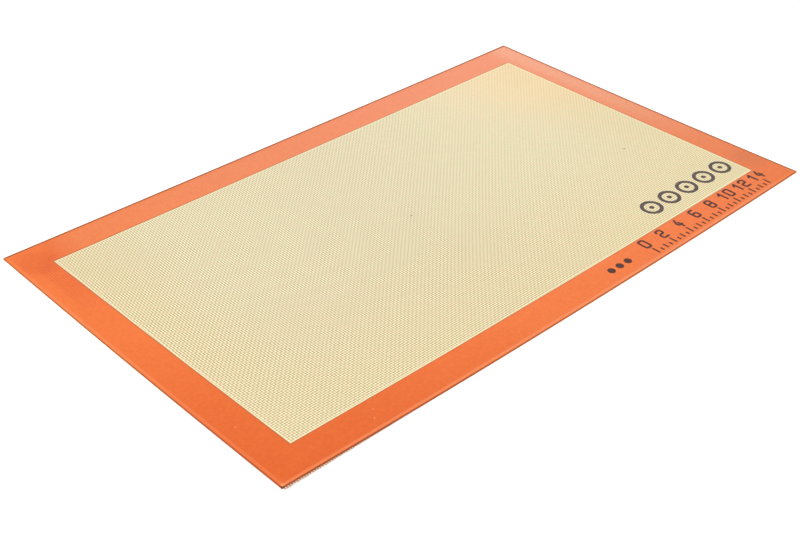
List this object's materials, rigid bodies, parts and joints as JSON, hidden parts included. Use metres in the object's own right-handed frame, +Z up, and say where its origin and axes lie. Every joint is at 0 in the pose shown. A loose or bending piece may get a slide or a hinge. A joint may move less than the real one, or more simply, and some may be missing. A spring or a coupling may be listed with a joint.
{
  "type": "silicone baking mat",
  "caption": "Thin rectangular baking mat: glass-fibre cloth between cream silicone coats, with an orange silicone border, sealed rim and plain printed scale and rings.",
  "frame": {"origin": "under the middle of the mat, on the surface that it rests on", "axes": "+X along the long side, +Y along the short side away from the printed scale, +Z up out of the working side"},
  "size_m": [0.52, 0.315, 0.001],
  "materials": {
    "glass_cloth": "woven glass fibre, bonded in silicone",
    "clear_silicone": "satin, the plain weave of the cloth showing through",
    "clear_silicone_underside": "satin, flatter than the working side",
    "orange_silicone": "smooth satin, opaque",
    "orange_silicone_underside": "satin, opaque",
    "orange_seal": "smooth satin bead",
    "dark_ink": "matt screen-printed silicone ink"
  },
  "bodies": {
    "root": {"glass_fibre_cloth": "glass_cloth", "top_silicone_coat": "clear_silicone", "bottom_silicone_coat": "clear_silicone_underside", "top_border_coat": "orange_silicone", "bottom_border_coat": "orange_silicone_underside", "edge_seal": "orange_seal", "printed_scale": "dark_ink", "printed_guide_rings": "dark_ink", "printed_dots": "dark_ink"}
  },
  "joints": []
}
